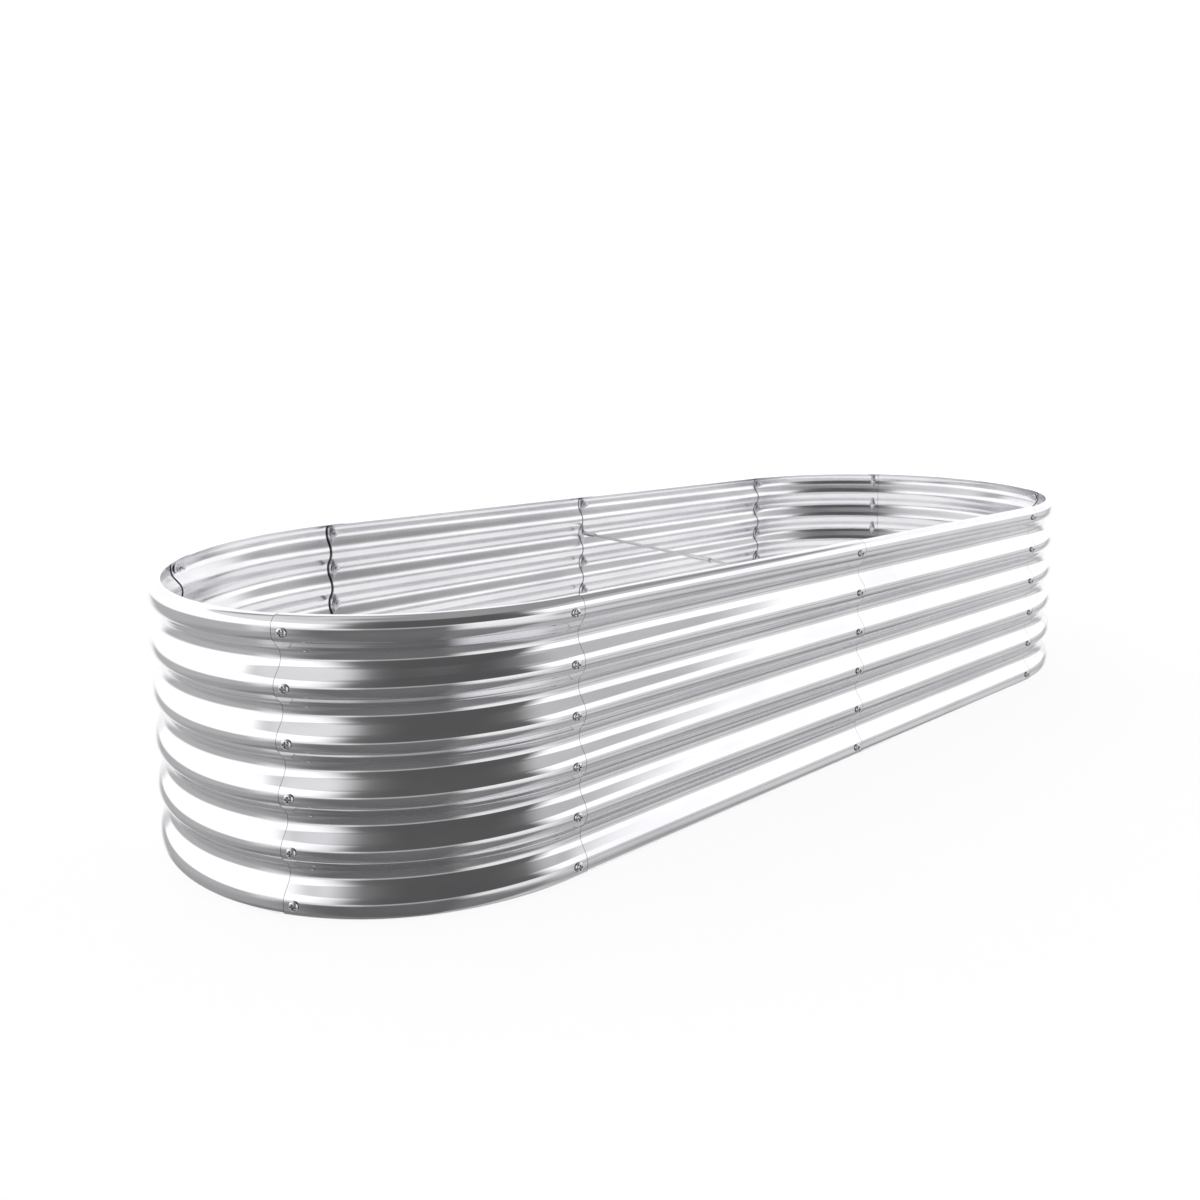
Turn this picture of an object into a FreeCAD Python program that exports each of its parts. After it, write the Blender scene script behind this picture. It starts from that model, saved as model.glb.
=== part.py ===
import FreeCAD, Part
import math
import os

# Oval raised garden bed of corrugated galvanised steel: ten sheet panels, lapped and bolted
# through every ridge into one open ring, with a threaded brace from long side to long side.
# Millimetres, +Z up, origin on the ground at the middle of the bed, long axis along X.

# The corrugation, with its bends and rolled edges worked as a few flats each
pitch = 50.8             # ridge to ridge
ridge_count = 6
sheet = 0.6              # sheet thickness
crest_radius = 15.0      # outer skin of a ridge
valley_radius = 15.0     # outer skin of a valley
web_lean = 40.0          # degrees that the straight webs lean from the vertical
crest_flat_count = 1     # an odd number, because the screws sit on the middle one
valley_flat_count = 1
rim_rise = 14.5          # from the top ridge up to the rim, and from the ground to the bottom one
roll_radius = 11.0       # outer skin of the rolled top and bottom edges
roll_flat_count = 2
lip = 2.5                # level end of each rolled edge; the bottom one stands on the ground

# The plan: two half rounds joined by two straight sides, measured on the ridges
end_radius = 295.5
side_half_length = 441.5
end_seam_angle = 37.5    # degrees between the long axis and the seams in the round ends
flat_turn = 15.0         # about how many degrees the round ends turn from flat to flat

# The laps
lap_past_screws = 11.0   # sheet beyond the screw line, on both panels
lap_gap = 0.3            # between the two sheets of a lap

# The screws and nuts
hole_diameter = 5.5
shank_diameter = 5.0
shank_flat_count = 6     # flats that stand for a circle on the shanks, rods and holes
screw_length = 12.0
head_diameter = 9.6
crown_diameter = 6.8
head_height = 3.0
head_flat_count = 8
nut_width = 8.0          # across flats
nut_height = 4.0
nut_flat_count = 6
thread_clearance = 0.05  # on the radius, between a thread's bore and its screw or rod

# The brace
brace_ridge = 1          # ridge that it is screwed through, counted down from the top one
rod_diameter = 4.0
sleeve_diameter = 7.0
sleeve_flat_count = 8
sleeve_length = 34.0
coupler_length = 40.0
rod_gap = 4.0            # between the ends of the two rods inside the coupler
rod_grip = 16.0          # length of rod held in a sleeve
screw_room = 1.5         # beyond the screw's end inside a sleeve
lock_nut_height = 3.2

lean = math.radians(web_lean)
crest_turn = 2 * lean / (crest_flat_count + 1)
web_height = pitch / 2 - (crest_radius + valley_radius) * math.sin(lean)
valley_centre = (crest_radius - (crest_radius + valley_radius) * math.cos(lean)
                 + web_height * math.tan(lean))
top_ridge_z = rim_rise + (ridge_count - 1) * pitch
inner_sheet = sheet + lap_gap
lap_depth = inner_sheet + sheet

# Each seam, anticlockwise from the middle of the front: its name, the middle of its side or
# end along X, the way it faces in degrees, and whether the panel before it laps outside
SEAMS = [
    ("front_middle", 0, -90, True),
    ("front_right", side_half_length, -90, True),
    ("right_front", side_half_length, -end_seam_angle, True),
    ("right_back", side_half_length, end_seam_angle, True),
    ("back_right", side_half_length, 90, False),
    ("back_middle", 0, 90, False),
    ("back_left", -side_half_length, 90, False),
    ("left_back", -side_half_length, 180 - end_seam_angle, False),
    ("left_front", -side_half_length, 180 + end_seam_angle, False),
    ("front_left", -side_half_length, 270, True),
]
# Each panel runs from the seam of the same place in that list to the next one
PANELS = [
    "side_panel_front_right",
    "corner_panel_front_right",
    "end_panel_right",
    "corner_panel_back_right",
    "side_panel_back_right",
    "side_panel_back_left",
    "corner_panel_back_left",
    "end_panel_left",
    "corner_panel_front_left",
    "side_panel_front_left",
]
BRACED_SEAMS = ("front_middle", "back_middle")


def ridge_z(ridge):
    """Height of a ridge, counted down from 0 at the top."""
    return top_ridge_z - ridge * pitch


def bend(centre, z, radius, start, end, flats):
    """Corners of a bend between two faces at its start and end angles; 0 looks outwards.

    All its flats touch the circle about the centre, so that the sheet keeps its thickness.
    """
    turn = (end - start) / (flats + 1)
    reach = radius / math.cos(turn / 2)
    corners = []
    for corner in range(flats + 1):
        angle = start + (corner + 0.5) * turn
        corners.append((centre - reach * math.cos(angle), z + reach * math.sin(angle)))
    return corners


def skin(below):
    """Outline of the wall from top to bottom, a given depth below its outer skin.

    Each corner is its inset from the outermost flats of the ridges and its height.
    """
    rim = bend(roll_radius, rim_rise - roll_radius, roll_radius - below,
               math.pi / 2, 0, roll_flat_count)
    rim = [(roll_radius + lip, rim_rise - below)] + rim
    corners = [(inset, ridge_z(0) + z) for inset, z in rim]
    for ridge in range(ridge_count):
        z = ridge_z(ridge)
        start = lean if ridge > 0 else 0
        end = -lean if ridge < ridge_count - 1 else 0
        flats = round((start - end) / crest_turn) - 1
        corners += bend(crest_radius, z, crest_radius - below, start, end, flats)
        if ridge < ridge_count - 1:
            corners += bend(valley_centre, z - pitch / 2, -valley_radius - below,
                            -lean, lean, valley_flat_count)
    corners += [(inset, ridge_z(ridge_count - 1) - z) for inset, z in reversed(rim)]
    return corners


def section(below, middle, facing, along=0.0, half_turn=0.0):
    """Corners of a sheet at a given depth below the outer skin, cut upright across the wall.

    The cut is a distance along a flat that faces the given way, or, with half_turn, is the
    mitre between two flats that each turn half_turn degrees from it.
    """
    direction = math.radians(facing)
    stretch = 1 / math.cos(math.radians(half_turn))
    corners = []
    for inset, z in skin(below) + skin(below + sheet)[::-1]:
        reach = (end_radius - inset) * stretch
        x = middle + reach * math.cos(direction) - along * math.sin(direction)
        y = reach * math.sin(direction) + along * math.cos(direction)
        corners.append(FreeCAD.Vector(x, y, z))
    return corners


def flat_face(corners):
    return Part.Face(Part.makePolygon(corners + corners[:1]))


def loft(sections, twisted=False):
    """Solid of flat faces through sections that have the same number of corners.

    Where the sections are twisted, each face between two of them is split into triangles.
    """
    faces = [flat_face(sections[0]), flat_face(sections[-1])]
    for near, far in zip(sections, sections[1:]):
        for index in range(len(near)):
            corners = [near[index - 1], near[index], far[index], far[index - 1]]
            if twisted:
                faces.append(flat_face(corners[:3]))
                faces.append(flat_face(corners[2:] + corners[:1]))
            else:
                faces.append(flat_face(corners))
    return Part.Solid(Part.Shell(faces))


def put_at(shape, seam):
    """Move a shape made facing +X about the Z axis to a seam."""
    _, middle, facing, _ = seam
    placed = shape.copy()
    placed.rotate(FreeCAD.Vector(0, 0, 0), FreeCAD.Vector(0, 0, 1), facing)
    placed.translate(FreeCAD.Vector(middle, 0, 0))
    return placed


def bar(start, end, width, flats, end_width=None):
    """Bar along +X with flats, one of them level at the top, to a width or between two."""
    sections = []
    for x, across in ((start, width), (end, end_width or width)):
        radius = across / 2 / math.cos(math.pi / flats)
        turns = [math.pi / 2 + (2 * corner + 1) * math.pi / flats for corner in range(flats)]
        sections.append([FreeCAD.Vector(x, radius * math.cos(t), radius * math.sin(t))
                         for t in turns])
    return loft(sections)


def on_ridges(shape, ridges):
    """Copies of a shape made at height 0, one on each ridge."""
    copies = []
    for ridge in ridges:
        copy = shape.copy()
        copy.translate(FreeCAD.Vector(0, 0, ridge_z(ridge)))
        copies.append(copy)
    return copies


def panel(seam, next_seam):
    """Sheet panel between two seams, drilled on every ridge.

    It leans in or out along its length, from the sheet that it is at one lap to the other.
    """
    _, middle, facing, before_is_outer = seam
    _, next_middle, next_facing, is_outer_at_next = next_seam
    turn = (next_facing - facing) % 360
    flats = round(turn / flat_turn)
    depth = inner_sheet if before_is_outer else 0
    next_depth = 0 if is_outer_at_next else inner_sheet
    sections = [section(depth, middle, facing, -lap_past_screws)]
    for flat in range(flats):
        share = (flat + 0.5) / flats
        sections.append(section(depth + (next_depth - depth) * share, middle,
                                facing + turn * share, half_turn=turn / flats / 2))
    sections.append(section(next_depth, next_middle, next_facing, lap_past_screws))
    sheet_panel = loft(sections, twisted=flats > 0 and depth != next_depth)
    drill = bar(end_radius - 2 * lap_depth, end_radius + sheet, hole_diameter, shank_flat_count)
    drills = [put_at(hole, place) for place in (seam, next_seam)
              for hole in on_ridges(drill, range(ridge_count))]
    return sheet_panel.cut(drills)


def screw():
    """Pan head screw through a seam, its head outside, at height 0."""
    shank = bar(end_radius - screw_length, end_radius, shank_diameter, shank_flat_count)
    head = bar(end_radius, end_radius + head_height, head_diameter, head_flat_count, crown_diameter)
    return shank.fuse(head)


def inner_seat(width):
    """Reach from the middle of the bed to where a piece that wide meets a ridge's inside."""
    inner_flat_half = (crest_radius - lap_depth) * math.tan(crest_turn / 2)
    return end_radius - lap_depth - max(0, width / 2 - inner_flat_half) * math.tan(crest_turn)


def threaded(blank, start, end, diameter):
    """A blank with a bore for a screw or rod of the given diameter."""
    return blank.cut(bar(start, end, diameter + 2 * thread_clearance, shank_flat_count))


def nut():
    """Nut against the inside of a lap, at height 0."""
    seat = inner_seat(nut_width)
    blank = bar(seat - nut_height, seat, nut_width, nut_flat_count)
    return threaded(blank, seat - nut_height, seat, shank_diameter)


def brace():
    """The brace's pieces, each with the seam that it is made facing."""
    seat = inner_seat(sleeve_diameter)
    sleeve_end = seat - sleeve_length
    sleeve = bar(sleeve_end, seat, sleeve_diameter, sleeve_flat_count)
    sleeve = threaded(sleeve, end_radius - screw_length - screw_room, seat, shank_diameter)
    sleeve = threaded(sleeve, sleeve_end, sleeve_end + rod_grip, rod_diameter)
    rod = bar(rod_gap / 2, sleeve_end + rod_grip, rod_diameter, shank_flat_count)
    coupler_end = coupler_length / 2
    coupler = bar(-coupler_end, coupler_end, sleeve_diameter, sleeve_flat_count)
    coupler = threaded(coupler, -coupler_end, coupler_end, rod_diameter)
    nut_end = coupler_end + lock_nut_height
    lock_nut = bar(coupler_end, nut_end, nut_width, nut_flat_count)
    lock_nut = threaded(lock_nut, coupler_end, nut_end, rod_diameter)
    return {
        "brace_sleeve_front": (sleeve, "front_middle"),
        "brace_sleeve_back": (sleeve, "back_middle"),
        "brace_rod_front": (rod, "front_middle"),
        "brace_rod_back": (rod, "back_middle"),
        "brace_coupler": (coupler, "front_middle"),
        "brace_lock_nut": (lock_nut, "front_middle"),
    }


def write(name, solids):
    Part.makeCompound(solids).exportStep(os.path.join("parts", name + ".step"))


os.makedirs("parts", exist_ok=True)
for index, name in enumerate(PANELS):
    write(name, panel(SEAMS[index], SEAMS[(index + 1) % len(SEAMS)]).Solids)

for seam in SEAMS:
    ridges = range(ridge_count)
    nut_ridges = ridges
    if seam[0] in BRACED_SEAMS:
        nut_ridges = [ridge for ridge in ridges if ridge != brace_ridge]
    write("screws_" + seam[0], [put_at(s, seam) for s in on_ridges(screw(), ridges)])
    write("nuts_" + seam[0], [put_at(n, seam) for n in on_ridges(nut(), nut_ridges)])

seam_named = {seam[0]: seam for seam in SEAMS}
for name, (shape, seam_name) in brace().items():
    [on_its_ridge] = on_ridges(shape, [brace_ridge])
    write(name, [put_at(on_its_ridge, seam_named[seam_name])])
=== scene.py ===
import math

import bpy
import numpy as np
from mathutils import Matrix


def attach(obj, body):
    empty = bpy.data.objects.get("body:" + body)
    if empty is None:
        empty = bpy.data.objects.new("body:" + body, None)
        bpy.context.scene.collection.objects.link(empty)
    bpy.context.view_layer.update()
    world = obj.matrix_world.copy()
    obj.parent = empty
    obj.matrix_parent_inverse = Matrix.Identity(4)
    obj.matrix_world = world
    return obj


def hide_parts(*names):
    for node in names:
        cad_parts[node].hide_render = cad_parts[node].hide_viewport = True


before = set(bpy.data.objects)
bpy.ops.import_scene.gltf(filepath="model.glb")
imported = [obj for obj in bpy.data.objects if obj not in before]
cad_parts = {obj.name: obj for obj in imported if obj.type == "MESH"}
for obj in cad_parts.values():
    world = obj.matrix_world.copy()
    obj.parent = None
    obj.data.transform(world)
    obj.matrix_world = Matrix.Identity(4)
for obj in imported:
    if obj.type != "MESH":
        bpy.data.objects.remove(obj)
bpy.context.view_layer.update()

MM = 0.001

# Rolled sheet: the profile of the corrugation, in metres
PITCH = 50.8 * MM
RIDGES = 6
SHEET = 0.6 * MM
BEND = 15.0 * MM            # outer skin of the ridges and of the valleys
LEAN = math.radians(40.0)   # of the straight webs from the vertical
RIM_RISE = 14.5 * MM        # from the top ridge to the rim
ROLL = 11.0 * MM            # outer skin of the rolled edges
LIP = 2.5 * MM
TOP_RIDGE = RIM_RISE + (RIDGES - 1) * PITCH
WEB = PITCH / 2 - 2 * BEND * math.sin(LEAN)
VALLEY_CENTRE = BEND - 2 * BEND * math.cos(LEAN) + WEB * math.tan(LEAN)

# Plan and laps
END_RADIUS = 295.5 * MM
SIDE_HALF = 441.5 * MM
HALF_ROUND = math.pi * END_RADIUS
QUARTER = math.pi / 2
END_SEAM = math.radians(37.5)
LAP = 11.0 * MM
LAP_GAP = 0.3 * MM
INNER_SHEET = SHEET + LAP_GAP
LAP_DEPTH = INNER_SHEET + SHEET
CUT_EDGE = 0.7 * MM         # dark line at a sheet's cut end, of bare steel and painted lap shade, drawn a little wider than it is
OPEN_LAP = 3.4 * MM         # the same where the lap gapes and its painted shadow is wider and darker
OPEN_PANEL = "side_panel_back_left"

# How finely the sheet is drawn: stations along it, steps round a roll and round a whole bend
STATION = 7.5 * MM
ROLL_STEPS = 10
BEND_STEPS = 12

# Waves of rolled sheet: length, slant from ridge to ridge and phase of each, and their height
# as a share of the length
WAVES = [(0.31, 0.9, 0.3), (0.17, 2.1, 1.7), (0.093, -3.0, 4.0), (0.057, 1.0, 2.6)]
WAVE_HEIGHT = 0.00022

# Screws: a pan head with a cross recess on a threaded shank
HEAD_RADIUS = 4.8 * MM
HEAD_HEIGHT = 3.0 * MM
HEAD_SIDES = 48
WING_HALF = 0.75 * MM       # half the width of the cross's wings, and how far they reach
WING_REACH = 0.66 * HEAD_RADIUS
WING_WALL = 0.35 * MM       # width of the recess's sloping walls, beside a wing and at its end
WING_END_WALL = 0.5 * MM
RECESS_DEPTH = 1.5 * MM     # of the cross, and of the point in its middle
RECESS_POINT = 1.7 * MM
SHANK_RADIUS = 2.5 * MM
SHANK_SIDES = 20
SCREW_LENGTH = 12.0 * MM
THREAD_PITCH = 0.8 * MM
THREAD_DEPTH = 0.28 * MM

# Nuts
NUT_WIDTH = 8.0 * MM
NUT_HEIGHT = 4.7 * MM
NUT_SIDES = 48
FLANGE_RADIUS = 5.6 * MM
LOCK_NUT_HEIGHT = 3.2 * MM

# Brace
BRACE_RIDGE = 1
ROD_RADIUS = 2.0 * MM
ROD_SIDES = 14
ROD_START = 2.0 * MM        # from the middle of the bed
ROD_THREAD_PITCH = 0.7 * MM
ROD_THREAD_DEPTH = 0.22 * MM
ROD_IN_SLEEVE = 16.0 * MM
SLEEVE_RADIUS = 3.5 * MM
SLEEVE_LENGTH = 34.0 * MM
SLEEVE_PAST_SCREW = 1.5 * MM
COUPLER_HALF = 20.0 * MM
TUBE_EASE = 0.35 * MM       # bevel at the ends of the sleeves and the coupler
TUBE_SIDES = 32
NEARLY_CLOSED = 0.0005 * MM

# An edge that turns by more than this many degrees is shown sharp
SHEET_SHARP = 40
SCREW_SHARP = 38
NUT_SHARP = 25
TUBE_SHARP = 40
ROD_SHARP = 70

# Each seam, anticlockwise from the middle of the front: its name, its distance along the
# ridges, and whether the panel before it laps outside
SEAMS = [
    ("front_middle", 0.0, True),
    ("front_right", SIDE_HALF, True),
    ("right_front", SIDE_HALF + (QUARTER - END_SEAM) * END_RADIUS, True),
    ("right_back", SIDE_HALF + (QUARTER + END_SEAM) * END_RADIUS, True),
    ("back_right", SIDE_HALF + HALF_ROUND, False),
    ("back_middle", 2 * SIDE_HALF + HALF_ROUND, False),
    ("back_left", 3 * SIDE_HALF + HALF_ROUND, False),
    ("left_back", 3 * SIDE_HALF + HALF_ROUND + (QUARTER - END_SEAM) * END_RADIUS, False),
    ("left_front", 3 * SIDE_HALF + HALF_ROUND + (QUARTER + END_SEAM) * END_RADIUS, False),
    ("front_left", 3 * SIDE_HALF + 2 * HALF_ROUND, True),
]
SEAM_DISTANCE = {name: distance for name, distance, _ in SEAMS}
PANELS = [
    "side_panel_front_right",
    "corner_panel_front_right",
    "end_panel_right",
    "corner_panel_back_right",
    "side_panel_back_right",
    "side_panel_back_left",
    "corner_panel_back_left",
    "end_panel_left",
    "corner_panel_front_left",
    "side_panel_front_left",
]
FULL_ROUND = 4 * SIDE_HALF + 2 * HALF_ROUND


# ---------------------------------------------------------------- meshes

def plan(distance):
    """Middle along X and facing angle of the wall, a distance anticlockwise along the ridges.

    On a straight side the middle runs and the angle stands; round an end it is the reverse.
    """
    knots = np.cumsum([-SIDE_HALF, 2 * SIDE_HALF, HALF_ROUND, 2 * SIDE_HALF, HALF_ROUND,
                       2 * SIDE_HALF])
    middles = np.array([-1, 1, 1, -1, -1, 1]) * SIDE_HALF
    facings = np.array([-1, -1, 1, 1, 3, 3]) * QUARTER
    return np.interp(distance, knots, middles), np.interp(distance, knots, facings)


def arc(centre, z, radius, start, end, steps):
    """Points of an arc: inset = centre - radius cos(angle), height = z + radius sin(angle)."""
    angle = np.linspace(start, end, steps + 1)
    return np.column_stack([centre - radius * np.cos(angle), z + radius * np.sin(angle)])


def skin(below):
    """Outline of the sheet from its top lip to its bottom one, as insets and heights.

    Ridge arcs bulge out and valley arcs in, joined by straight webs, a depth below the skin.
    """
    rim = arc(ROLL, RIM_RISE - ROLL, ROLL - below, QUARTER, 0, ROLL_STEPS)
    rim = np.vstack([[ROLL + LIP, RIM_RISE - below], rim])
    parts = [rim + [0, TOP_RIDGE]]
    for ridge in range(RIDGES):
        z = TOP_RIDGE - ridge * PITCH
        start = LEAN if ridge > 0 else 0
        end = -LEAN if ridge < RIDGES - 1 else 0
        # the top and bottom ridges are half bends, and the roll makes their other half
        steps = BEND_STEPS if start > end + LEAN else BEND_STEPS // 2
        parts.append(arc(BEND, z, BEND - below, start, end, steps))
        if ridge < RIDGES - 1:
            parts.append(arc(VALLEY_CENTRE, z - PITCH / 2, -BEND - below, -LEAN, LEAN,
                             BEND_STEPS))
    parts.append(rim[::-1] * [1, -1] + [0, TOP_RIDGE - (RIDGES - 1) * PITCH])
    return np.vstack(parts)


def new_mesh(name, points, faces, uv=None, sharp=None):
    """Object at the origin from points and faces, smooth but for edges sharper than an angle."""
    mesh = bpy.data.meshes.new(name)
    mesh.from_pydata(points, [], faces)
    if uv is not None:
        layer = mesh.uv_layers.new(name="sheet")
        corners = np.empty(len(mesh.loops), dtype=np.int64)
        mesh.loops.foreach_get("vertex_index", corners)
        layer.data.foreach_set("uv", uv[corners].ravel())
    mesh.shade_smooth()
    if sharp:
        mesh.set_sharp_from_angle(angle=math.radians(sharp))
    mesh.update()
    piece = bpy.data.objects.new(name, mesh)
    bpy.context.collection.objects.link(piece)
    return piece


def grid_faces(rows, columns, looped=False):
    """Quads of a grid of points, row by row, with its last column joined to the first.

    Looped joins the last row to the first as well.
    """
    near = np.arange(columns)
    far = (near + 1) % columns
    row = np.arange(rows if looped else rows - 1)[:, None]
    this, after = row * columns, (row + 1) % rows * columns
    quads = np.stack([this + near, after + near, after + far, this + far], axis=-1)
    return quads.reshape(-1, 4)


def unevenness(distance, z):
    """Waves of rolled sheet, a tenth of a millimetre high: a sum of long sines along it."""
    height = np.zeros_like(distance * z)
    for length, slant, phase in WAVES:
        height += length * np.sin(2 * np.pi * (distance / length) + slant * z / PITCH + phase)
    return WAVE_HEIGHT * height


def panel(index):
    """Sheet panel: the profile carried along the plan, from one seam's lap to the next one's.

    A point is the middle along X plus (end radius - inset) times the facing direction, at the
    profile's height. The depth of the skin runs from that of one lap to that of the other.
    Attributes say how far a point is from the cut ends, in widths of the dark line there of bare
    steel and painted lap shade, and whether it is on the inner side.
    """
    name = PANELS[index]
    _, start, before_is_outer = SEAMS[index]
    _, end, is_outer_at_next = SEAMS[(index + 1) % len(SEAMS)]
    end = end if end > start else end + FULL_ROUND
    stations = int(round((end - start + 2 * LAP) / STATION))
    distance = np.linspace(start - LAP, end + LAP, stations + 1)
    share = np.clip((distance - start) / (end - start), 0, 1)
    depth = INNER_SHEET * np.where(before_is_outer, 1 - share, share)
    if before_is_outer != is_outer_at_next:
        depth = np.full_like(share, INNER_SHEET if before_is_outer else 0.0)
    middle, facing = plan(distance)

    def surface(below):
        outline = np.stack([skin(below + d) for d in depth])
        inset, z = outline[..., 0], outline[..., 1]
        # the waves die out towards the ground edge, which is flat
        inset = inset + unevenness(distance[:, None], z) * (1 - np.exp(-z / PITCH))
        reach = END_RADIUS - inset
        x = middle[:, None] + reach * np.cos(facing)[:, None]
        y = reach * np.sin(facing)[:, None]
        return np.stack([x, y, z], axis=-1)

    outer, inner = surface(0.0), surface(SHEET)
    rows, columns = outer.shape[:2]
    loop = np.concatenate([outer, inner[:, ::-1]], axis=1)
    along = np.concatenate([[0], np.cumsum(np.linalg.norm(np.diff(skin(0), axis=0), axis=1))])
    across = np.concatenate([along, along[::-1]])
    uv = np.stack(np.broadcast_arrays(distance[:, None], across[None, :]), axis=-1)
    faces = grid_faces(rows, 2 * columns)
    pairs = np.arange(columns - 1)
    start_cap = np.stack([pairs, pairs + 1, 2 * columns - 2 - pairs, 2 * columns - 1 - pairs],
                         axis=-1)
    end_cap = start_cap[:, ::-1] + (rows - 1) * 2 * columns
    # read backwards, so that the faces point outwards
    quads = np.concatenate([faces, start_cap, end_cap])[:, ::-1]
    piece = new_mesh(name + "_sheet", loop.reshape(-1, 3), quads.tolist(),
                     uv.reshape(-1, 2), sharp=SHEET_SHARP)
    from_start = (distance - distance[0]) / CUT_EDGE
    from_end = (distance[-1] - distance) / CUT_EDGE
    if name == OPEN_PANEL:
        # from -2 at the cut end to 1, so that most of the line is below 0, where its painted
        # shadow of the gaping lap is darkest
        from_end = (distance[-1] - distance) / OPEN_LAP * 3 - 2
    steps = np.repeat(np.minimum(from_start, from_end), 2 * columns)
    inner_side = np.tile(np.repeat([0.0, 1.0], columns), rows)
    for attribute, values in (("edge_steps", steps), ("inner_side", inner_side)):
        layer = piece.data.attributes.new(attribute, "FLOAT", "POINT")
        layer.data.foreach_set("value", values)
    return piece


def rings_of(x, radius, turn):
    """Rings about the X axis: each point is (x, radius cos(turn), radius sin(turn))."""
    x, radius, turn = np.broadcast_arrays(x, radius, turn)
    return np.stack([x, radius * np.cos(turn), radius * np.sin(turn)], axis=-1)


def turned(outline):
    """Rings of a shape turned about the X axis, from its outline of places and radii."""
    outline = np.array(outline)
    turn = np.arange(TUBE_SIDES) * 2 * np.pi / TUBE_SIDES
    return rings_of(outline[:, :1], outline[:, 1:], turn)


def capped(rings):
    """Points and faces of rings joined in order, closed by a fan of their first and last."""
    rows, columns = rings.shape[:2]
    centres = rings[[0, -1]].mean(axis=1)
    points = np.concatenate([rings.reshape(-1, 3), centres])
    faces = grid_faces(rows, columns).tolist()
    ring = np.arange(columns)
    first, last = len(points) - 2, len(points) - 1
    base = (rows - 1) * columns
    faces += np.column_stack([np.full(columns, first), ring, (ring + 1) % columns]).tolist()
    faces += np.column_stack([np.full(columns, last), base + (ring + 1) % columns,
                              base + ring]).tolist()
    return points, faces


def joined(parts):
    """Points and faces of several closed shapes as one."""
    points, faces, count = [], [], 0
    for part_points, part_faces in parts:
        points.append(part_points)
        faces += [[corner + count for corner in face] for face in part_faces]
        count += len(part_points)
    return np.concatenate(points), faces


def pan_head():
    """Pan head with a cross recess, seen as a height over a disc.

    The height follows a profile of shares of the radius and of the head's height: a low crown,
    then a rounded rim down to the washer face. The recess is a pit where either |y| or |z| is
    less than half a wing's width and the radius is less than the wing's reach.
    """
    radii = np.array([0.0, 0.12, 0.22, 0.32, 0.42, 0.5, 0.56, 0.62, 0.72, 0.82, 0.9, 0.96, 1.0,
                      1.0, 0.97]) * HEAD_RADIUS
    heights = np.array([1.0, 1.0, 0.995, 0.985, 0.97, 0.955, 0.94, 0.92, 0.875, 0.8, 0.68, 0.5,
                        0.3, 0.08, 0.0]) * HEAD_HEIGHT
    # clockwise, so that the faces point outwards
    turn = -(np.arange(HEAD_SIDES) + 0.5) * 2 * np.pi / HEAD_SIDES
    y = radii[1:, None] * np.cos(turn)
    z = radii[1:, None] * np.sin(turn)
    arm = np.minimum(np.abs(y), np.abs(z))
    pit = np.clip((WING_HALF - arm) / WING_WALL + 0.5, 0, 1)
    pit *= np.clip((WING_REACH - np.hypot(y, z)) / WING_END_WALL, 0, 1)
    x = END_RADIUS + heights[1:, None] - RECESS_DEPTH * pit
    points, faces = capped(np.stack([x, y, z], axis=-1)[::-1])
    points[-1] = [END_RADIUS + heights[0] - RECESS_POINT, 0, 0]
    return points, faces


def thread(radius, start, end, sides, pitch, depth):
    """Threaded bar along X: its radius is a triangle wave of x / pitch less the turn's share.

    It has four rings to a pitch.
    """
    steps = int(round((end - start) / pitch * 4))
    x = np.linspace(start, end, steps + 1)[:, None]
    turn = np.arange(sides) * 2 * np.pi / sides
    wave = np.abs(((x / pitch - turn / (2 * np.pi)) % 1.0) * 2 - 1)
    groove = radius - depth * wave
    groove[[0, -1]] -= depth
    # from the far end, so that the faces point outwards
    return capped(rings_of(x, groove, turn)[::-1])


def screw():
    """Pan head screw through a lap, made facing +X at height 0."""
    into_head = 0.2 * MM
    shank = thread(SHANK_RADIUS, END_RADIUS - SCREW_LENGTH, END_RADIUS + into_head, SHANK_SIDES,
                   THREAD_PITCH, THREAD_DEPTH)
    return joined([pan_head(), shank])


def hexagon_nut(seat, height, width, bore, flange=0.0):
    """Hexagon nut along X, its corners cut by a cone, on a round flange where it has one.

    The radius round a hexagon is (width / 2) / cos(turn to the nearest flat's middle), held
    to a smaller circle towards both ends.
    """
    # clockwise, so that the faces point outwards
    turn = -np.arange(NUT_SIDES) * 2 * np.pi / NUT_SIDES
    to_flat = (turn + np.pi / 6) % (np.pi / 3) - np.pi / 6
    hexagon = width / 2 / np.cos(to_flat)
    # as shares of the width: the circle that cuts the corners, the flat ring of the end face
    # and the start of the slope to the flange
    cut_corners = np.minimum(hexagon, 0.535 * width)
    face = 0.46 * width
    slope = 0.6 * width
    # radius at each share of the height above the seat, from the free end down to the seat
    rows = [(1.0, bore), (1.0, face), (0.9, cut_corners), (0.8, hexagon)]
    if flange:
        rows += [(0.3, hexagon), (0.24, slope), (0.1, 0.97 * flange), (0.04, flange),
                 (0.0, 0.98 * flange)]
    else:
        rows += [(0.2, hexagon), (0.1, cut_corners), (0.0, face)]
    rows.append((0.0, bore))
    rings = np.stack([rings_of(seat - share * height, radius, turn) for share, radius in rows])
    return rings.reshape(-1, 3), grid_faces(len(rows), NUT_SIDES, looped=True).tolist()


def placed(shape, distance, ridges):
    """Copies of a shape made facing +X, turned to a seam and set on ridges."""
    points, faces = shape
    middle, facing = plan(distance)
    cos, sin = math.cos(facing), math.sin(facing)
    copies = []
    for ridge in ridges:
        x = middle + points[:, 0] * cos - points[:, 1] * sin
        y = points[:, 0] * sin + points[:, 1] * cos
        z = points[:, 2] + TOP_RIDGE - ridge * PITCH
        copies.append((np.stack([x, y, z], axis=-1), faces))
    return joined(copies)


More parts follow.
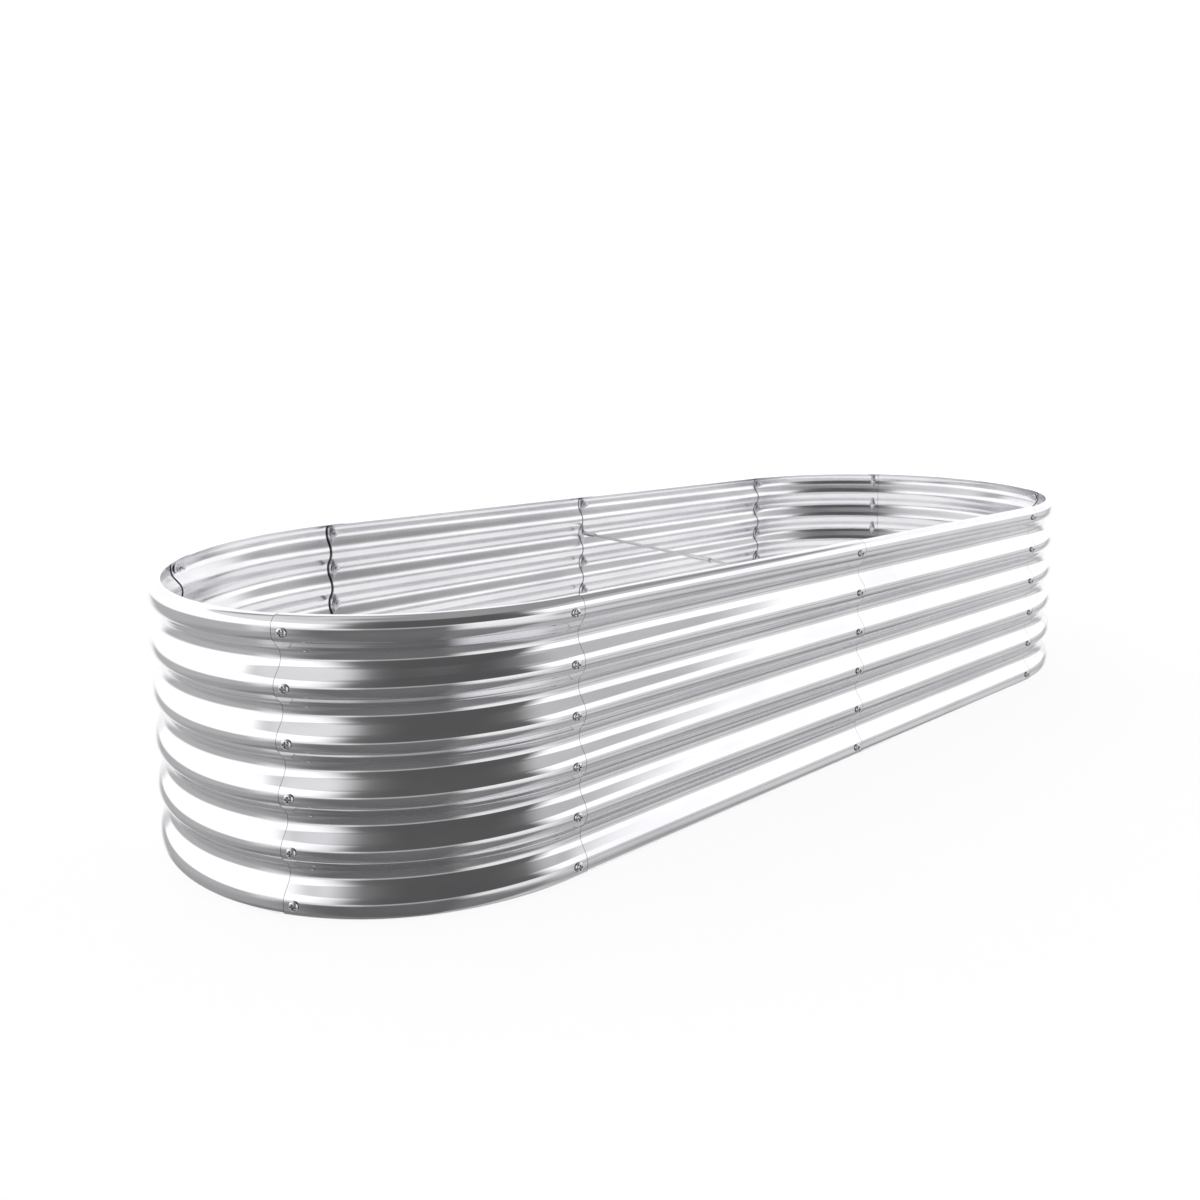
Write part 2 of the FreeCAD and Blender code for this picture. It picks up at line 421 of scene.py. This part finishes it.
def inner_seat(half_width):
    """Reach from the middle to where a round piece that wide meets the inside of a ridge.

    It is the reach of the lap's inner skin, less the sag of that skin's arc over the width.
    """
    radius = BEND - LAP_DEPTH
    return END_RADIUS - LAP_DEPTH - (radius - math.sqrt(radius ** 2 - half_width ** 2))


# ---------------------------------------------------------------- materials

def linear(hex_colour):
    """Linear RGBA of an sRGB hex colour."""
    channels = [int(hex_colour[i:i + 2], 16) / 255 for i in (1, 3, 5)]
    return [c / 12.92 if c <= 0.04045 else ((c + 0.055) / 1.055) ** 2.4 for c in channels] + [1.0]


def add(tree, kind, settings=None, inputs=None):
    """Add a node with its settings; an input is a value, or an output socket to link from."""
    node = tree.nodes.new(kind)
    for name, value in (settings or {}).items():
        setattr(node, name, value)
    for name, value in (inputs or {}).items():
        socket = node.inputs[name]
        if isinstance(value, bpy.types.NodeSocket):
            tree.links.new(value, socket)
        else:
            socket.default_value = value
    return node


def blank_material(name):
    """A material with an empty node tree, and the tree."""
    material = bpy.data.materials.new(name)
    material.use_nodes = True
    material.node_tree.nodes.clear()
    return material, material.node_tree


def galvanised_sheet():
    """Hot-dip galvanised sheet, skin-passed bright: mirror-like along the rolling direction.

    It gives long sharp bands of light along the ridges, faint streaks, a trace of violet in
    the greys, softer bands on the inner side and at each cut end a thin dark line of bare steel
    and painted shade of the lap.
    """
    material, tree = blank_material("bright_galvanised_sheet")
    uv = add(tree, "ShaderNodeUVMap", {"uv_map": "sheet"}).outputs["UV"]
    # rolling marks: about 0.6 mm wide and hundreds of times longer
    streaks = add(tree, "ShaderNodeMapping", {}, {"Vector": uv, "Scale": (4.0, 1600.0, 1.0)})
    rolling = add(tree, "ShaderNodeTexNoise", {"noise_dimensions": "2D"},
                  {"Vector": streaks.outputs["Vector"], "Scale": 1.0, "Detail": 3.0,
                   "Roughness": 0.55})
    # patches of thicker and thinner zinc, some 40 mm across and four times as long
    cloud_map = add(tree, "ShaderNodeMapping", {}, {"Vector": uv, "Scale": (6.0, 24.0, 1.0)})
    clouds = add(tree, "ShaderNodeTexNoise", {"noise_dimensions": "2D"},
                 {"Vector": cloud_map.outputs["Vector"], "Scale": 1.0, "Detail": 4.0,
                  "Roughness": 0.6})
    tone = add(tree, "ShaderNodeValToRGB", {}, {"Fac": clouds.outputs["Fac"]})
    tone.color_ramp.elements[0].position = 0.3
    tone.color_ramp.elements[0].color = linear("#e6e5e9")
    tone.color_ramp.elements[1].position = 0.7
    tone.color_ramp.elements[1].color = linear("#f3f3f5")
    # the cut end of a sheet: bare steel with painted shade of the lap, darkest where the lap gapes
    edge = add(tree, "ShaderNodeAttribute", {"attribute_name": "edge_steps"}).outputs["Fac"]
    closing = add(tree, "ShaderNodeMapRange", {},
                  {"Value": edge, "From Min": -0.8, "From Max": -0.1})
    bare_steel_and_lap_shade = add(tree, "ShaderNodeMix", {"data_type": "RGBA"},
               {"Factor": closing.outputs["Result"], "A": linear("#29282c"),
                "B": linear("#7b7a80")})
    past_edge = add(tree, "ShaderNodeMapRange", {"interpolation_type": "SMOOTHSTEP"},
                    {"Value": edge, "From Min": 0.4, "From Max": 1.1})
    colour = add(tree, "ShaderNodeMix", {"data_type": "RGBA"},
                 {"Factor": past_edge.outputs["Result"], "A": bare_steel_and_lap_shade.outputs["Result"],
                  "B": tone.outputs["Color"]})
    outer_rough = add(tree, "ShaderNodeMapRange", {},
                      {"Value": clouds.outputs["Fac"], "From Min": 0.3, "From Max": 0.7,
                       "To Min": 0.045, "To Max": 0.08})
    # the inner side isn't rolled as bright as the outer one
    inner = add(tree, "ShaderNodeAttribute", {"attribute_name": "inner_side"}).outputs["Fac"]
    rough = add(tree, "ShaderNodeMapRange", {},
                {"Value": inner, "To Min": outer_rough.outputs["Result"], "To Max": 0.21})
    bump = add(tree, "ShaderNodeBump", {},
               {"Height": rolling.outputs["Fac"], "Strength": 0.006, "Distance": 0.12 * MM})
    shader = add(tree, "ShaderNodeBsdfPrincipled", {},
                 {"Base Color": colour.outputs["Result"], "Metallic": 1.0,
                  "Roughness": rough.outputs["Result"], "Normal": bump.outputs["Normal"]})
    add(tree, "ShaderNodeOutputMaterial", {}, {"Surface": shader.outputs["BSDF"]})
    return material


def zinc_plated(name, light, dark, least_rough, most_rough, shade_reach):
    """Bright zinc-plated steel: smooth, a little cloudy, painted shade in its recesses and
    threads.

    It gives small sharp highlights on the heads and softer ones on the nuts and the brace. The
    reach is how far off another surface still adds painted shade to a point.
    """
    material, tree = blank_material(name)
    place = add(tree, "ShaderNodeTexCoord").outputs["Object"]
    # plating clouds about 2 mm across
    clouds = add(tree, "ShaderNodeTexNoise", {}, {"Vector": place, "Scale": 500.0,
                                                  "Detail": 3.0, "Roughness": 0.6})
    tone = add(tree, "ShaderNodeValToRGB", {}, {"Fac": clouds.outputs["Fac"]})
    tone.color_ramp.elements[0].position = 0.32
    tone.color_ramp.elements[0].color = linear(dark)
    tone.color_ramp.elements[1].position = 0.68
    tone.color_ramp.elements[1].color = linear(light)
    rough = add(tree, "ShaderNodeMapRange", {},
                {"Value": clouds.outputs["Fac"], "From Min": 0.3, "From Max": 0.7,
                 "To Min": least_rough, "To Max": most_rough})
    bump = add(tree, "ShaderNodeBump", {},
               {"Height": clouds.outputs["Fac"], "Strength": 0.1, "Distance": 0.1 * MM})
    # painted shade in the recess, the threads and round the foot, from ambient occlusion
    occlusion_shade = add(tree, "ShaderNodeAmbientOcclusion", {"samples": 4}, {"Distance": shade_reach})
    unshaded = add(tree, "ShaderNodeMapRange", {},
                {"Value": occlusion_shade.outputs["AO"], "From Min": 0.35, "From Max": 0.85})
    colour = add(tree, "ShaderNodeMix", {"data_type": "RGBA"},
                 {"Factor": unshaded.outputs["Result"], "A": linear("#3c3b40"),
                  "B": tone.outputs["Color"]})
    shader = add(tree, "ShaderNodeBsdfPrincipled", {},
                 {"Base Color": colour.outputs["Result"], "Metallic": 1.0,
                  "Roughness": rough.outputs["Result"], "Normal": bump.outputs["Normal"]})
    add(tree, "ShaderNodeOutputMaterial", {}, {"Surface": shader.outputs["BSDF"]})
    return material


def take(piece, material, slot, *nodes):
    """Give a piece its material, and let it stand for CAD nodes on the one body. The slot is not
    used.
    """
    piece.data.materials.append(material)
    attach(piece, "root")
    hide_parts(*nodes)


def fasten(name, shape, seam, ridges, sharp, finish, node):
    """Set a shape at a seam on each of the ridges, as one piece that stands for a CAD node."""
    points, faces = placed(shape, SEAM_DISTANCE[seam], ridges)
    take(new_mesh(name, points, faces, sharp=sharp), *finish, node)


# ---------------------------------------------------------------- the bed

SHEET_FINISH = (galvanised_sheet(), "galvanised_sheet")
SCREW_FINISH = (zinc_plated("bright_zinc_screws", "#f4f4f6", "#e2e2e6", 0.14, 0.22, 2.0 * MM),
                "zinc_screws")
NUT_FINISH = (zinc_plated("zinc_plated_nuts", "#f2f2f4", "#e0e0e4", 0.38, 0.5, 0.8 * MM),
              "zinc_nuts")
BRACE_FINISH = (zinc_plated("zinc_plated_brace", "#efeff2", "#dcdce0", 0.34, 0.46, 0.5 * MM),
                "zinc_brace")


def sheet_panels():
    """The ten panels, each for the CAD node of the same name."""
    for index, name in enumerate(PANELS):
        take(panel(index), *SHEET_FINISH, name)


def screws_and_nuts():
    """A screw and a nut on every ridge of every seam, but for the nuts that the brace replaces."""
    screw_shape = screw()
    nut_shape = hexagon_nut(inner_seat(FLANGE_RADIUS), NUT_HEIGHT, NUT_WIDTH, SHANK_RADIUS,
                            flange=FLANGE_RADIUS)
    for seam in SEAM_DISTANCE:
        ridges = list(range(RIDGES))
        fasten("pan_screws_" + seam, screw_shape, seam, ridges, SCREW_SHARP, SCREW_FINISH,
               "screws_" + seam)
        if seam.endswith("_middle"):
            ridges.remove(BRACE_RIDGE)
        fasten("flange_nuts_" + seam, nut_shape, seam, ridges, NUT_SHARP, NUT_FINISH,
               "nuts_" + seam)


def brace():
    """Sleeves on the middle screws, a rod from each, and their coupler and lock nut."""
    seat = inner_seat(SLEEVE_RADIUS)
    sleeve_end = seat - SLEEVE_LENGTH
    rod_end = sleeve_end + ROD_IN_SLEEVE
    sleeve = capped(turned([
        (END_RADIUS - SCREW_LENGTH - SLEEVE_PAST_SCREW, SHANK_RADIUS),
        (seat, SHANK_RADIUS),
        (seat, SLEEVE_RADIUS),
        (sleeve_end + TUBE_EASE, SLEEVE_RADIUS),
        (sleeve_end, SLEEVE_RADIUS - TUBE_EASE),
        (sleeve_end, ROD_RADIUS),
        (rod_end, ROD_RADIUS),
        (rod_end, NEARLY_CLOSED),
    ]))
    coupler_rings = turned([
        (-COUPLER_HALF, ROD_RADIUS),
        (COUPLER_HALF, ROD_RADIUS),
        (COUPLER_HALF, SLEEVE_RADIUS - TUBE_EASE),
        (COUPLER_HALF - TUBE_EASE, SLEEVE_RADIUS),
        (TUBE_EASE - COUPLER_HALF, SLEEVE_RADIUS),
        (-COUPLER_HALF, SLEEVE_RADIUS - TUBE_EASE),
    ])
    coupler = (coupler_rings.reshape(-1, 3),
               grid_faces(*coupler_rings.shape[:2], looped=True).tolist())
    rod = thread(ROD_RADIUS, ROD_START, rod_end, ROD_SIDES, ROD_THREAD_PITCH, ROD_THREAD_DEPTH)
    lock_nut = hexagon_nut(COUPLER_HALF + LOCK_NUT_HEIGHT, LOCK_NUT_HEIGHT, NUT_WIDTH, ROD_RADIUS)
    ridge = [BRACE_RIDGE]
    for side in ("front", "back"):
        seam = side + "_middle"
        fasten("sleeve_tube_" + side, sleeve, seam, ridge, TUBE_SHARP, BRACE_FINISH,
               "brace_sleeve_" + side)
        fasten("threaded_rod_" + side, rod, seam, ridge, ROD_SHARP, BRACE_FINISH,
               "brace_rod_" + side)
    fasten("coupler_tube", coupler, "front_middle", ridge, TUBE_SHARP, BRACE_FINISH,
           "brace_coupler")
    fasten("lock_nut", lock_nut, "front_middle", ridge, NUT_SHARP, NUT_FINISH,
           "brace_lock_nut")


sheet_panels()
screws_and_nuts()
brace()


# ---------------------------------------------------------------- studio

# Floor: half its width, how far it lies below the bed, the distances from the bed's middle line
# between which the sheet inside turns to film and between which the film fades, and how clear
# the film is
FLOOR_HALF = 12.0
FLOOR_DROP = 0.3 * MM
UNDER_WALL = (END_RADIUS - 12.0 * MM, END_RADIUS - 8.0 * MM)
FILM_FADE = (0.7, 2.8)
FLOOR_CLEAR = 0.78


def studio_floor():
    """Pale floor: a sheet inside the bed, and round it a film that the white room shows through.

    How clear it is follows the distance from the middle line of the bed, which is the length
    of (|x| less half the straight side, y), and past the film's end the floor is gone.
    """
    corners = np.array([(-1, -1, 0), (1, -1, 0), (1, 1, 0), (-1, 1, 0)]) * FLOOR_HALF
    floor = new_mesh("studio_floor", corners - [0, 0, FLOOR_DROP], [[0, 1, 2, 3]])
    material, tree = blank_material("pale_floor")
    place = add(tree, "ShaderNodeTexCoord").outputs["Object"]
    ways = add(tree, "ShaderNodeSeparateXYZ", {}, {0: place}).outputs
    along = add(tree, "ShaderNodeMath", {"operation": "ABSOLUTE"}, {0: ways["X"]}).outputs[0]
    over = add(tree, "ShaderNodeMath", {"operation": "SUBTRACT"},
               {0: along, 1: SIDE_HALF}).outputs[0]
    past = add(tree, "ShaderNodeMath", {"operation": "MAXIMUM"}, {0: over, 1: 0.0}).outputs[0]
    offset = add(tree, "ShaderNodeCombineXYZ", {}, {"X": past, "Y": ways["Y"]}).outputs[0]
    away = add(tree, "ShaderNodeVectorMath", {"operation": "LENGTH"},
               {0: offset}).outputs["Value"]
    beside = add(tree, "ShaderNodeMapRange", {},
                 {"Value": away, "From Min": UNDER_WALL[0], "From Max": UNDER_WALL[1],
                  "To Min": 0.0, "To Max": FLOOR_CLEAR})
    fade = add(tree, "ShaderNodeMapRange", {"interpolation_type": "SMOOTHERSTEP"},
               {"Value": away, "From Min": FILM_FADE[0], "From Max": FILM_FADE[1],
                "To Min": beside.outputs["Result"], "To Max": 1.0})
    paper = add(tree, "ShaderNodeBsdfDiffuse", {}, {"Color": linear("#efeff0")})
    # the ground inside the bed shows white in the metal, as the page round it does
    inside = add(tree, "ShaderNodeMath", {"operation": "LESS_THAN"},
                 {0: away, 1: sum(UNDER_WALL) / 2})
    mirrored = add(tree, "ShaderNodeLightPath").outputs["Is Glossy Ray"]
    white_share = add(tree, "ShaderNodeMath", {"operation": "MULTIPLY"},
                      {0: inside.outputs[0], 1: mirrored})
    white = add(tree, "ShaderNodeEmission", {}, {"Strength": 1.0})
    ground = add(tree, "ShaderNodeMixShader", {}, {0: white_share.outputs[0],
                                                   1: paper.outputs["BSDF"],
                                                   2: white.outputs["Emission"]})
    clear = add(tree, "ShaderNodeBsdfTransparent")
    mixed = add(tree, "ShaderNodeMixShader", {}, {0: fade.outputs["Result"],
                                                  1: ground.outputs["Shader"],
                                                  2: clear.outputs["BSDF"]})
    add(tree, "ShaderNodeOutputMaterial", {}, {"Surface": mixed.outputs["Shader"]})
    floor.data.materials.append(material)


# Added below the least cosine, so that a layer that goes all round has no slit behind it
FULL_TURN_ROOM = 1e-4

# The light of the studio all round, painted in layers over a grey room. Each layer: the way it
# lies in degrees anticlockwise from +X, half its width, how softly it ends sideways, its lowest
# and highest elevation, how softly it ends below and above, and its brightness (1 is white)
ROOM_GREY = 0.33
LIGHT_LAYERS = [
    (140, 60, 30, 48, 70, 8, 14, 0.72),      # ceiling over the far left
    (0, 180, 1, -100, 0, 1, 10, 0.49),       # ground all round
    (130, 50, 30, -100, -25, 1, 14, 0.36),
    (130, 60, 30, -100, -45, 1, 10, 0.20),
    (315, 38, 20, -30, 2, 14, 8, 0.78),      # pale ground at the front right
    (315, 38, 20, -100, -30, 1, 10, 0.50),
    (315, 30, 20, -100, -60, 1, 10, 0.72),
    (318, 40, 24, -15, -11, 3, 3, 0.44),     # and the joints across it
    (318, 40, 24, -39, -35, 3, 3, 0.26),
    (137, 70, 14, -2, 38, 8, 6, 1.25),       # long white light on the left and behind
    (155, 45, 20, 38, 56, 6, 8, 0.83),
    (192, 20, 14, -18, 3, 6, 6, 0.92),
    (249, 38, 44, 0, 62, 6, 10, 0.105),      # unlit room at the front left
    (222, 38, 34, -100, -8, 1, 10, 0.075),
    (272, 17, 16, -100, -28, 1, 10, 0.17),
    (330, 42, 14, 3, 37, 8, 6, 1.22),        # long white light at the front right
    (12, 26, 12, 3, 38, 8, 6, 1.15),
    (320, 28, 16, 37, 50, 6, 8, 0.57),
    (274, 18, 16, -20, 0, 8, 6, 1.05),
    (52, 48, 15, -61, 29, 12, 9, 1.15),      # white background
]


def sine(elevation):
    """Height of a unit way at an elevation in degrees, and below -1 past straight down."""
    if elevation > -90:
        return math.sin(math.radians(elevation))
    return -1.0 + (elevation + 90) / 90


def studio_world():
    """White surroundings with long lights and an unlit side, by azimuth and elevation.

    A layer covers the one below by the product of three smooth steps: one in the cosine of the
    turn away from its middle, and two in the height of the way, above its low end and below
    its high one. Each step is the most that the next one reaches.
    """
    world = bpy.data.worlds.new("white_studio")
    world.use_nodes = True
    tree = world.node_tree
    tree.nodes.clear()
    way = add(tree, "ShaderNodeTexCoord").outputs["Generated"]
    height = add(tree, "ShaderNodeSeparateXYZ", {}, {0: way}).outputs["Z"]
    flattened = add(tree, "ShaderNodeVectorMath", {"operation": "MULTIPLY"},
                    {0: way, 1: (1.0, 1.0, 0.0)}).outputs[0]
    level_way = add(tree, "ShaderNodeVectorMath", {"operation": "NORMALIZE"},
                    {0: flattened}).outputs[0]
    level = ROOM_GREY
    for middle, half_width, side_soft, low, high, low_soft, high_soft, light in LIGHT_LAYERS:
        facing = math.radians(middle)
        cosine = add(tree, "ShaderNodeVectorMath", {"operation": "DOT_PRODUCT"},
                     {0: level_way, 1: (math.cos(facing), math.sin(facing), 0.0)})
        widest = math.radians(min(180, half_width + side_soft / 2))
        fullest = math.radians(half_width - side_soft / 2)
        share = 1.0
        for value, start, end in [
            (cosine.outputs["Value"], math.cos(widest) - FULL_TURN_ROOM, math.cos(fullest)),
            (height, sine(low - low_soft / 2), sine(low + low_soft / 2)),
            (height, sine(high + high_soft / 2), sine(high - high_soft / 2)),
        ]:
            share = add(tree, "ShaderNodeMapRange", {"interpolation_type": "SMOOTHSTEP"},
                        {"Value": value, "From Min": start, "From Max": end,
                         "To Max": share}).outputs["Result"]
        level = add(tree, "ShaderNodeMix", {},
                    {"Factor": share, "A": level, "B": light}).outputs["Result"]
    background = add(tree, "ShaderNodeBackground", {}, {"Color": (1.0, 1.0, 1.0, 1.0),
                                                        "Strength": level})
    add(tree, "ShaderNodeOutputWorld", {}, {"Surface": background.outputs["Background"]})
    bpy.context.scene.world = world


# Camera: its place is along X, along Y and above the top ridge, its turn is in degrees down,
# of roll and from +Y towards +X, and its shift is a share of the frame's width
CAMERA_PLACE = (-0.9439, -0.9965, TOP_RIDGE + 0.2261)
CAMERA_DOWN = 6.082
CAMERA_ROLL = 0.061
CAMERA_AZIMUTH = 41.045
CAMERA_LENS = 27.73
CAMERA_SHIFT = (-0.0513, -0.1067)


def camera():
    """Camera from the front left, a little above the bed, as the reference shows it."""
    data = bpy.data.cameras.new("camera")
    data.sensor_width = 36.0
    data.sensor_fit = "HORIZONTAL"
    data.lens = CAMERA_LENS
    data.shift_x, data.shift_y = CAMERA_SHIFT
    eye = bpy.data.objects.new("camera", data)
    eye.location = CAMERA_PLACE
    eye.rotation_euler = [math.radians(angle)
                          for angle in (90 - CAMERA_DOWN, CAMERA_ROLL, -CAMERA_AZIMUTH)]
    bpy.context.collection.objects.link(eye)
    bpy.context.scene.camera = eye


studio_floor()
studio_world()
camera()
bpy.context.scene.view_settings.view_transform = "Standard"
